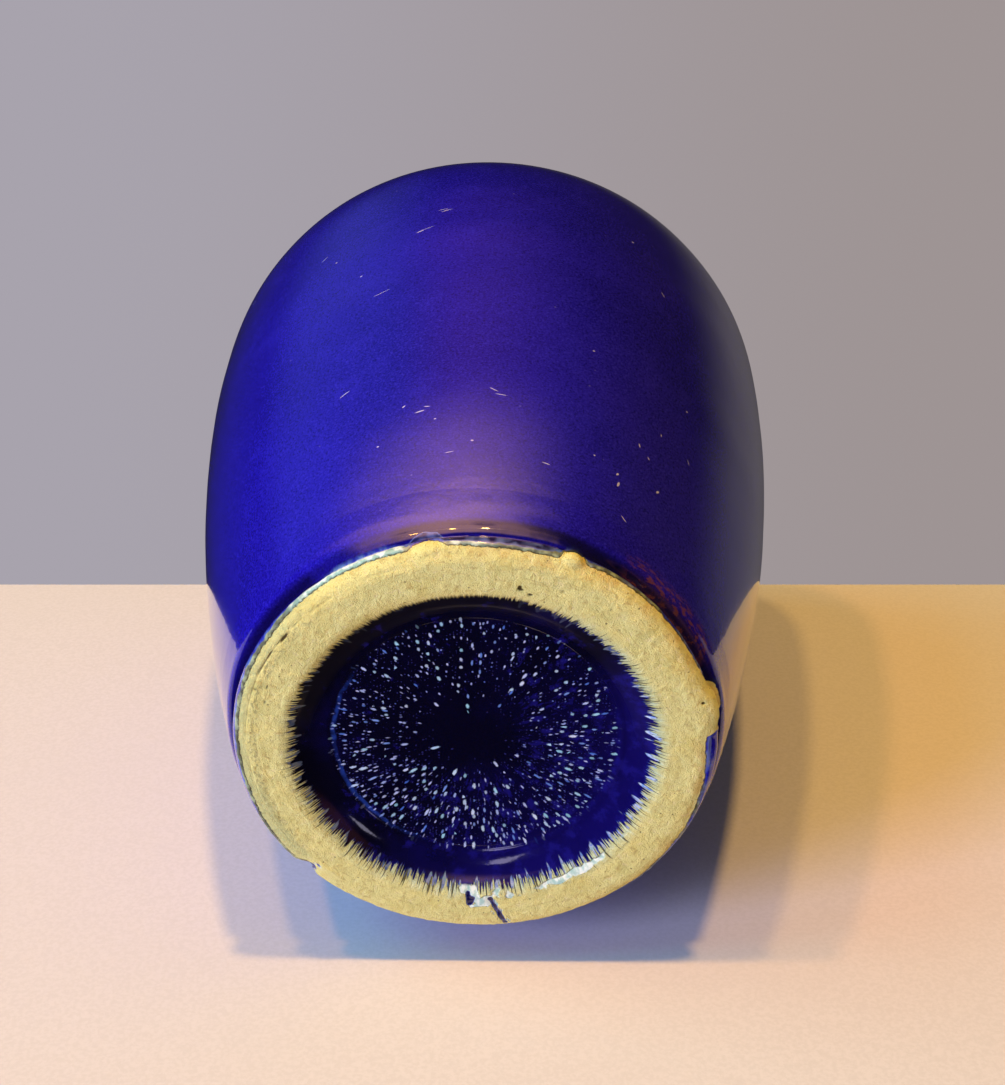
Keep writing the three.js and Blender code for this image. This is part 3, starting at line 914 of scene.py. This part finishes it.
# glaze in the recess, bluer where it pooled
pool_dir = g.math("ADD", g.math("MULTIPLY", ux, 0.80), g.math("MULTIPLY", uy, 0.60))
pool = g.math("MULTIPLY", g.smooth(pool_dir, 0.0, 0.95), g.smooth(rr, 3.0, 36.0))
pool = g.math("ADD", pool, g.math("MULTIPLY", centred(g, g.noise(pos, 0.075, 3, 0.6)), 0.75), clamp=True)
recess_col = g.mix(g.math("MULTIPLY", pool, g.smooth(rr, 25.0, 36.0, 0.40, 1.0)), (0.0015, 0.0010, 0.010), (0.0045, 0.0022, 0.085))
haze_n = g.math("MULTIPLY_ADD", g.smooth(pool_dir, -0.9, 0.7), 0.12, g.noise(ringvec(9.0, 0.26, 61.0), 1.0, 4, 0.65))
recess_col = g.mix(g.math("MULTIPLY", g.smooth(haze_n, 0.60, 0.78, 0, 0.75), g.smooth(rr, 7.0, 16.0)), recess_col, (0.009, 0.006, 0.16))
# thin glaze near the edge: blue where the fringe is strong, dark grey with painted shade at the top and left
thin_glaze_and_shade_col = g.mix(g.smooth(halo_, 0.2, 0.8), lin(30, 26, 34), lin(36, 54, 150))
recess_col = g.mix(g.math("MULTIPLY", g.smooth(f1, 0.8, -0.1), 0.75), recess_col, thin_glaze_and_shade_col)
recess_col = g.mix(g.math("MULTIPLY", g.smooth(edge_in_, 0.0, -1.2), 0.85), recess_col, lin(46, 38, 28))
# white streaks that run in from the edge
st = g.math("ADD", g.noise(ringvec(33.0, 0.20, 77.0), 1.0, 0.6, 0.5), g.remap(edge_in_, 0.0, 4.2, 0.10, -0.22))
st = g.math("MULTIPLY", g.smooth(st, 0.585, 0.655), g.smooth(edge_in_, 4.6, 3.2))
st = g.math("MULTIPLY", st, g.attr("streak"))
recess_col = g.mix(st, recess_col, g.ramp(g.noise(pos, 0.8, 2, 0.5), [(0.38, lin(128, 164, 226)), (0.55, lin(206, 214, 238)), (0.7, lin(176, 214, 220))], "LINEAR"))


# specks: each cell of a Voronoi pattern holds one fleck, drawn out away from the axis
def flecks(scale, seed, half_long, half_wide, keep, lo_r, hi_r):
    shift = (seed, seed * 0.7, 0.0)
    vo = g.voronoi(g.vmath("ADD", flat, shift), scale, 0.92)
    centre = g.vmath("MULTIPLY", g.vmath("SUBTRACT", vo["Position"], shift), (1.0, 1.0, 0.0))
    cr, cg, cb = g.rgb(vo["Color"])
    d = g.vmath("SUBTRACT", flat, centre)
    cdir = g.vmath("NORMALIZE", centre)
    low = g.smooth(g.split(cdir)[1], -0.9, 0.7)
    along_ = g.math("DIVIDE", g.vmath("DOT_PRODUCT", d, cdir), g.math("MULTIPLY", g.remap(cg, 0.0, 1.0, half_long * 0.40, half_long), g.remap(low, 0, 1, 0.72, 1.1)))
    across = g.math("DIVIDE", g.vmath("DOT_PRODUCT", d, g.vmath("CROSS_PRODUCT", cdir, (0.0, 0.0, 1.0))), g.remap(cb, 0.0, 1.0, half_wide * 0.6, half_wide))
    e = g.math("ADD", g.vmath("LENGTH", g.xyz(along_, across, 0.0)), centred(g, g.noise(pos, 2.6, 1, 0.5), 0.35))
    where = g.vmath("LENGTH", centre)
    m = g.math("MULTIPLY", g.smooth(e, 1.15, 0.55), g.math("LESS_THAN", cr, g.math("MULTIPLY", g.smooth(where, lo_r, hi_r, 0.0, keep), g.remap(low, 0, 1, 0.55, 0.84))))
    return g.math("MULTIPLY", m, g.smooth(where, RECESS_R + 0.3, RECESS_R - 0.9)), cg, cb


fl_c, c1, c2 = flecks(1.35, 73.1, 0.30, 0.20, 0.34, 4.0, 18.0)
recess_col = g.mix(g.math("MULTIPLY", fl_c, 0.36), recess_col, lin(66, 66, 150))
fl_b, b1, b2 = flecks(0.72, 41.7, 0.68, 0.24, 0.38, 5.0, 22.0)
recess_col = g.mix(g.math("MULTIPLY", fl_b, g.remap(b2, 0, 1, 0.45, 0.95)), recess_col, g.mix(b1, lin(98, 118, 200), lin(190, 196, 236)))
fl_a, a1, a2 = flecks(0.43, 11.3, 1.15, 0.42, 0.60, 5.0, 24.0)
fleck_col = g.ramp(a2, [(0.0, lin(70, 110, 200)), (0.25, lin(120, 150, 214)), (0.5, lin(196, 204, 238)), (0.8, lin(150, 205, 222)), (1.0, lin(214, 220, 240))], "LINEAR")
recess_col = g.mix(g.math("MULTIPLY", fl_a, g.remap(a1, 0, 1, 0.6, 1.0)), recess_col, fleck_col)
# a turquoise line on part of the disc's rim
rim_line = g.math("SUBTRACT", rr, g.math("MULTIPLY_ADD", centred(g, g.noise(ringvec(7.0, 0.2, 21.0), 1.0, 1.0, 0.5)), 0.7, 31.6))
arc_dir = g.math("ADD", g.math("MULTIPLY", ux, -0.95), g.math("MULTIPLY", uy, 0.30))
rim_line = g.math("MULTIPLY", g.smooth(g.math("ABSOLUTE", rim_line), 0.75, 0.15), g.smooth(arc_dir, 0.55, 0.9, 0.0, 0.55))
rim_line = g.math("MULTIPLY", rim_line, g.smooth(g.noise(pos, 0.5, 2, 0.5), 0.38, 0.62, 0.2, 0.8))
recess_col = g.mix(rim_line, recess_col, lin(38, 74, 176))
colour = g.mix(m_in, clay_col, recess_col)

# outer glaze edge: painted shadow line, celadon, white bead, light blue, then cobalt
o_n = centred(g, g.noise(pos, 0.9, 2, 0.5, 0.3))
o_r = centred(g, g.noise(ringvec(30.0, 0.5, 91.0), 1.0, 2, 0.55))
o1 = g.math("ADD", g.attr("edge_out"), g.math("ADD", g.math("MULTIPLY", o_n, 0.30), g.math("MULTIPLY", o_r, 0.16)))
m_out = g.smooth(o1, -0.06, 0.08)
bead = g.attr("bead")
past = g.math("SUBTRACT", g.math("MULTIPLY_ADD", g.attr("blotch"), 0.55, o1), g.math("MULTIPLY_ADD", bead, 2.3, 0.30))  # past the pale band
edge_col = cobalt(g)
blue_col = g.mix(g.smooth(o_r, -0.2, 0.4), lin(52, 62, 190), lin(120, 160, 226))
edge_col = g.mix(g.math("MULTIPLY", g.smooth(past, 1.5, 0.2), g.remap(bead, 0.0, 0.6, 0.15, 0.9)), edge_col, blue_col)
w_n = centred(g, g.noise(pos, 0.45, 2, 0.5))
pale_col = g.mix(g.smooth(g.math("MULTIPLY_ADD", w_n, 1.6, o1), 0.3, 1.3), lin(146, 182, 172), lin(236, 244, 240))
dull_col = g.mix(g.smooth(w_n, -0.2, 0.3), lin(96, 100, 84), lin(160, 170, 134))
pale_col = g.mix(g.smooth(bead, 0.75, 0.3), pale_col, dull_col)
edge_col = g.mix(g.math("MULTIPLY", g.smooth(past, 0.25, -0.25), g.smooth(bead, 0.04, 0.26)), edge_col, pale_col)
# painted shadow: a dark olive line where the raised glaze meets the clay
brown = g.smooth(g.math("ABSOLUTE", g.math("SUBTRACT", o1, 0.06)), 0.34, 0.08)
brown = g.math("MULTIPLY", brown, g.smooth(g.noise(pos, 1.1, 2, 0.6), 0.34, 0.54))
edge_col = g.mix(g.math("MULTIPLY", brown, 0.85), edge_col, lin(72, 62, 34))
# painted shade: near-black in the crease above the ring, where the glaze lies thick
crease = g.math("MULTIPLY", g.smooth(pz, 3.3, 4.5), g.smooth(pz, 8.2, 6.4))
crease = g.math("MULTIPLY", crease, g.smooth(rr, 51.0, 51.6))
edge_col = g.mix(g.math("MULTIPLY", crease, g.smooth(bead, 0.95, 0.6, 0.55, 0.88)), edge_col, lin(8, 4, 44))
# painted reflection: red-brown streaks painted into the hollow above the ring at the upper right
reflection_dir = g.math("ADD", g.math("MULTIPLY", ux, 0.766), g.math("MULTIPLY", uy, -0.643))
painted_reflection = g.math("MULTIPLY", g.smooth(reflection_dir, 0.950, 0.985), g.math("MULTIPLY", g.smooth(pz, 4.4, 5.6), g.smooth(pz, 12.0, 8.0)))
reflection_streaks = g.noise(g.xyz(g.math("MULTIPLY", ux, 22.0), g.math("MULTIPLY", uy, 22.0), g.math("MULTIPLY", pz, 1.5)), 1.0, 3, 0.6)
edge_col = g.mix(g.math("MULTIPLY", painted_reflection, g.smooth(reflection_streaks, 0.48, 0.60, 0.05, 0.75)), edge_col, lin(104, 54, 52))
colour = g.mix(m_out, colour, edge_col)

# single patches
navy_ = g.attr("navy")
m_navy = g.smooth(g.math("ADD", navy_, g.math("MULTIPLY", o_n, 0.10)), 0.42, 0.58)
m_pale = g.smooth(g.math("ADD", g.attr("pale"), g.math("MULTIPLY", o_n, 0.16)), 0.30, 0.58)
colour = g.mix(g.math("MULTIPLY", m_pale, 0.95), colour, g.mix(g.smooth(o_r, -0.3, 0.3), lin(160, 196, 190), lin(232, 240, 232)))
colour = g.mix(m_navy, colour, g.mix(g.smooth(navy_, 0.55, 0.9), lin(92, 104, 170), lin(15, 13, 66)))
glaze = g.math("MAXIMUM", g.math("MAXIMUM", m_in, m_out), g.math("MAXIMUM", m_navy, m_pale), clamp=True)

dry = g.math("MULTIPLY", g.smooth(edge_in_, 7.5, 3.0), g.math("MULTIPLY", g.math("SUBTRACT", 1.0, m_out), g.smooth(uy, 0.15, -0.40)))
dry = g.math("MULTIPLY", dry, g.smooth(g.attr("edge_in"), -6.0, -5.0))
rough_glaze = g.math("MULTIPLY_ADD", dry, 0.45, g.remap(g.noise(pos, 0.11, 4, 0.55, 0.5), 0.3, 0.7, *GLAZE_ROUGH))
rough = g.fmix(glaze, g.remap(c_fine, 0.3, 0.7, 0.72, 0.92), rough_glaze)
# height: grain on the clay, orange peel on the glaze, a step where the glaze begins
h_clay = g.math("ADD", g.math("MULTIPLY", c_fine, 0.42), g.math("MULTIPLY", c_mid, 0.62))
h_clay = g.math("ADD", h_clay, g.math("MULTIPLY", g.noise(pos, 7.0, 2, 0.6), 0.075))
h_clay = g.math("SUBTRACT", h_clay, g.math("MULTIPLY", speck, 0.05))
height = g.fmix(glaze, h_clay, g.math("ADD", peel(g), 0.16))
glazed_shader(g, colour, rough, height, g.math("MULTIPLY", glaze, g.math("MULTIPLY_ADD", dry, -1.0, 1.0)), 0.10)
mesh.materials.append(foot_mat)

# the foot's material goes up to a height where both are the same plain cobalt
poly_foot = np.zeros(len(mesh.polygons), np.int32)
first_vert = np.zeros(len(mesh.polygons), np.int64)
loops = np.zeros(len(mesh.loops), np.int64)
mesh.loops.foreach_get("vertex_index", loops)
starts = np.zeros(len(mesh.polygons), np.int64)
mesh.polygons.foreach_get("loop_start", starts)
all_s = np.concatenate([vert_s, [0.0, TOTAL]])
poly_foot[all_s[loops[starts]] < S_LOW + 7.0] = 1
mesh.polygons.foreach_set("material_index", poly_foot)
mesh.update()

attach(jar, "root")
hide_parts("jar")

# ---------------------------------------------------------------- camera, at the photograph's viewing angle
CAM = Vector((0.0, -259.67, -332.8)) * MM
FWD = Vector((0.00968, 0.5249, 0.85111)).normalized()
RIGHT = Vector((0.99884, -0.04517, 0.0165)).normalized()
UP = RIGHT.cross(FWD).normalized()
RIGHT = FWD.cross(UP).normalized()
cam_data = bpy.data.cameras.new("camera")
cam_data.sensor_fit = "AUTO"
cam_data.sensor_width = 36.0
cam_data.lens = 1900.0 / 1085.0 * 36.0
cam_data.clip_start, cam_data.clip_end = 0.01, 50.0
cam = bpy.data.objects.new("camera", cam_data)
cam.matrix_world = Matrix((
    (RIGHT.x, UP.x, -FWD.x, CAM.x),
    (RIGHT.y, UP.y, -FWD.y, CAM.y),
    (RIGHT.z, UP.z, -FWD.z, CAM.z),
    (0, 0, 0, 1),
))
bpy.context.scene.collection.objects.link(cam)
bpy.context.scene.camera = cam

# ---------------------------------------------------------------- stage
# The jar lies on its side before the camera, so the floor it lies on is a tilted plane in the jar's own frame.
PITCH = math.radians(25.5)
LYING_UP = (math.cos(PITCH) * UP - math.sin(PITCH) * FWD).normalized()
AWAY = (math.cos(PITCH) * FWD + math.sin(PITCH) * UP).normalized()
FLOOR_C = -62.68 * MM - 0.0002


def lying(right, up, away, origin=(0.0, 0.0, 0.0)):
    """A point given to the right, above the floor and away from the camera, all in metres."""
    return Vector(origin) + RIGHT * right + LYING_UP * (up + FLOOR_C) + AWAY * away


def stage_material(name, colour_, fleck, one_sided=True):
    m = bpy.data.materials.new(name)
    m.use_nodes = True
    q = Graph(m.node_tree)
    p = q.new("ShaderNodeTexCoord").outputs["Object"]
    n1 = q.noise(p, 900.0, 3, 0.6)
    n2 = q.noise(p, 14.0, 3, 0.5)
    col = q.mix(q.smooth(n1, 0.35, 0.65, 0, fleck), colour_, tuple(c * 0.80 for c in colour_))
    col = q.mix(q.smooth(n2, 0.3, 0.7, 0, 0.25), col, tuple(c * 0.93 for c in colour_))
    b = q.new("ShaderNodeBsdfDiffuse")
    q.put(b.inputs["Color"], col)
    o = q.new("ShaderNodeOutputMaterial")
    if one_sided:
        geo = q.new("ShaderNodeNewGeometry")
        path = q.new("ShaderNodeLightPath")
        clear = q.new("ShaderNodeBsdfTransparent")
        mixs = q.new("ShaderNodeMixShader")
        q.put(mixs.inputs[0], q.math("MULTIPLY", geo.outputs["Backfacing"], path.outputs["Is Camera Ray"]))
        q.put(mixs.inputs[1], b.outputs[0])
        q.put(mixs.inputs[2], clear.outputs[0])
        q.put(o.inputs["Surface"], mixs.outputs[0])
    else:
        q.put(o.inputs["Surface"], b.outputs[0])
    return m


def sheet(name, corners, material):
    me = bpy.data.meshes.new(name)
    me.from_pydata([tuple(c) for c in corners], [], [tuple(range(len(corners)))])
    me.materials.append(material)
    o = bpy.data.objects.new(name, me)
    bpy.context.scene.collection.objects.link(o)
    return o


pale_floor = stage_material("stage_floor", (0.72, 0.68, 0.80), 0.35)
WALL_LINE = 0.2063
cloth = sheet("stage_floor_lying", [lying(-1.3, 0, -0.012), lying(1.3, 0, -0.012), lying(1.3, 0, WALL_LINE), lying(-1.3, 0, WALL_LINE)], pale_floor)
cloth.visible_shadow = False
front = sheet("stage_floor_front", [lying(-1.3, 0, -0.9), lying(1.3, 0, -0.9), lying(1.3, 0, -0.012), lying(-1.3, 0, -0.012)], pale_floor)
front.visible_shadow = False
front.visible_glossy = False
ground = sheet("stage_floor_standing", [Vector(p) for p in ((-3, -3, -0.0004), (3, -3, -0.0004), (3, 3, -0.0004), (-3, 3, -0.0004))], pale_floor)
for flag in ("visible_shadow", "visible_glossy", "visible_diffuse", "visible_transmission"):
    setattr(ground, flag, False)

# ---------------------------------------------------------------- lights
LAMP_H = 2.0
FOOT_TOP = 0.1157


def area(name, where, target, size, power, colour_=(1, 1, 1), size_y=None, glossy=True):
    data = bpy.data.lights.new(name, "AREA")
    data.shape = "RECTANGLE" if size_y else "DISK"
    data.size = size
    if size_y:
        data.size_y = size_y
    data.energy = power
    data.color = colour_
    o = bpy.data.objects.new(name, data)
    o.location = where
    o.rotation_mode = "QUATERNION"
    o.rotation_quaternion = (target - where).to_track_quat("-Z", "Y")
    o.visible_glossy = glossy
    o.visible_camera = False
    bpy.context.scene.collection.objects.link(o)
    return o


def overhead(name, left_tan, power, colour_, size=0.10):
    """A small ceiling lamp, placed by how far left of upright it stands over the foot."""
    where = lying(-left_tan * (LAMP_H - 0.0627), LAMP_H, -0.0058 - (LAMP_H - FOOT_TOP) * 0.129)
    return area(name, where, lying(0, 0.06, 0.04), size, power, colour_)


def window(name, right, up, away, distance, size, size_y, power, colour_, glossy=True):
    d = (RIGHT * right + LYING_UP * up + AWAY * away).normalized()
    middle = lying(0, 0.07, 0.08)
    return area(name, middle + d * distance, middle, size, power, colour_, size_y, glossy)


overhead("lamp_1", -0.055, 19.5, (1.0, 0.60, 0.15), 0.12)
overhead("lamp_2", 0.20, 10.3, (1.0, 0.57, 0.11), 0.12)
overhead("lamp_3", 0.43, 10.3, (1.0, 0.44, 0.09), 0.12)
window("window_left", -0.75, 0.72, -0.10, 2.2, 1.2, 1.2, 14.4, (0.22, 1.0, 1.0), glossy=False)
window("fill_front", -0.75, 0.25, -0.60, 2.4, 1.0, 0.8, 66.0, (0.64, 0.70, 1.0), glossy=False)
window("fill_back", 0.10, -1.0, 0.45, 1.2, 0.9, 0.9, 2.2, (1.0, 0.98, 1.0), glossy=False)

# ---------------------------------------------------------------- world: soft surroundings, greyer on the far side
world = bpy.data.worlds.new("world")
bpy.context.scene.world = world
world.use_nodes = True
w = Graph(world.node_tree)
wd = w.new("ShaderNodeTexCoord").outputs["Generated"]
up_d = w.vmath("DOT_PRODUCT", wd, tuple(LYING_UP))
away_d = w.vmath("DOT_PRODUCT", wd, tuple(AWAY))
right_d = w.vmath("DOT_PRODUCT", wd, tuple(RIGHT))
rays = w.new("ShaderNodeLightPath").outputs
room = w.mix(w.smooth(up_d, -0.2, 0.2), (0.008, 0.007, 0.009), (0.030, 0.026, 0.034))
wall = w.mix(w.smooth(right_d, -0.15, 0.50), (0.018, 0.016, 0.028), (0.135, 0.120, 0.125))
wall = w.mix(w.smooth(up_d, 0.16, -0.18), (0.010, 0.009, 0.014), wall)
room = w.mix(w.smooth(away_d, 0.45, 0.80), room, wall)
# warm light from above, seen only as a soft reflection in the glaze
ceiling = w.math("MULTIPLY", w.math("ADD", w.smooth(away_d, 0.57, 0.42, 0.0, 0.26), w.smooth(away_d, 0.44, 0.34, 0.0, 0.74)), w.smooth(w.math("ABSOLUTE", w.math("ADD", right_d, 0.17)), 0.74, 0.04))
ceiling = w.math("MULTIPLY", ceiling, w.smooth(up_d, 0.2, 0.7))
# its faint red tail further up the body, and a cooler one on the left
tail = w.math("MULTIPLY", w.smooth(up_d, 0.42, 0.90), w.smooth(w.math("ABSOLUTE", w.math("ADD", right_d, 0.15)), 0.60, 0.05))
room = w.mix(w.math("MULTIPLY", tail, w.smooth(away_d, 0.2, 0.4)), room, (0.26, 0.10, 0.11))
cool_w = w.math("MULTIPLY", w.smooth(right_d, -0.10, -0.45), w.smooth(up_d, 0.02, 0.36))
room = w.mix(w.math("MULTIPLY", cool_w, w.smooth(away_d, 0.2, 0.5)), room, (0.07, 0.09, 0.13))
# something brown low on the right, mirrored in the hollow above the ring
brown_w = w.math("MULTIPLY", w.smooth(w.math("ABSOLUTE", w.math("ADD", right_d, -0.68)), 0.19, 0.07), w.smooth(away_d, -0.35, -0.60))
brown_w = w.math("MULTIPLY", brown_w, w.smooth(w.math("ABSOLUTE", w.math("ADD", up_d, 0.12)), 0.30, 0.10))
room = w.mix(brown_w, room, (0.30, 0.10, 0.08))
# two pale openings in front of the foot
for right_c, up_c, half_r, half_u, tint in ((-0.14, -0.15, 0.060, 0.12, (4.2, 3.8, 5.6)), (0.39, -0.26, 0.055, 0.08, (3.4, 3.2, 4.4))):
    opening = w.math("MULTIPLY", w.smooth(w.math("ABSOLUTE", w.math("SUBTRACT", right_d, right_c)), half_r, half_r - 0.03),
                     w.smooth(w.math("ABSOLUTE", w.math("SUBTRACT", up_d, up_c)), half_u, half_u - 0.03))
    opening = w.math("MULTIPLY", opening, w.math("LESS_THAN", away_d, -0.5))
    room = w.mix(w.math("MULTIPLY", opening, rays["Is Glossy Ray"]), room, tint)
room = w.mix(w.math("MULTIPLY", ceiling, rays["Is Glossy Ray"]), room, (5.5, 2.8, 2.2))
room = w.mix(w.math("MULTIPLY", rays["Is Diffuse Ray"], 0.55), room, (0.16, 0.15, 0.045))
_, _, dz = w.split(wd)
seen = w.mix(w.smooth(dz, 0.55, 0.72), (0.62, 0.60, 0.58), w.mix(w.smooth(right_d, -0.25, 0.25), lin(168, 163, 173), lin(158, 148, 148)))
path = w.new("ShaderNodeLightPath")
bg = w.new("ShaderNodeBackground")
w.put(bg.inputs["Color"], w.mix(path.outputs["Is Camera Ray"], room, seen))
bg.inputs["Strength"].default_value = 1.0
wo = w.new("ShaderNodeOutputWorld")
w.put(wo.inputs["Surface"], bg.outputs[0])

view = bpy.context.scene.view_settings
view.view_transform = "Standard"
view.look = "None"
view.exposure = 0.0
view.gamma = 1.0
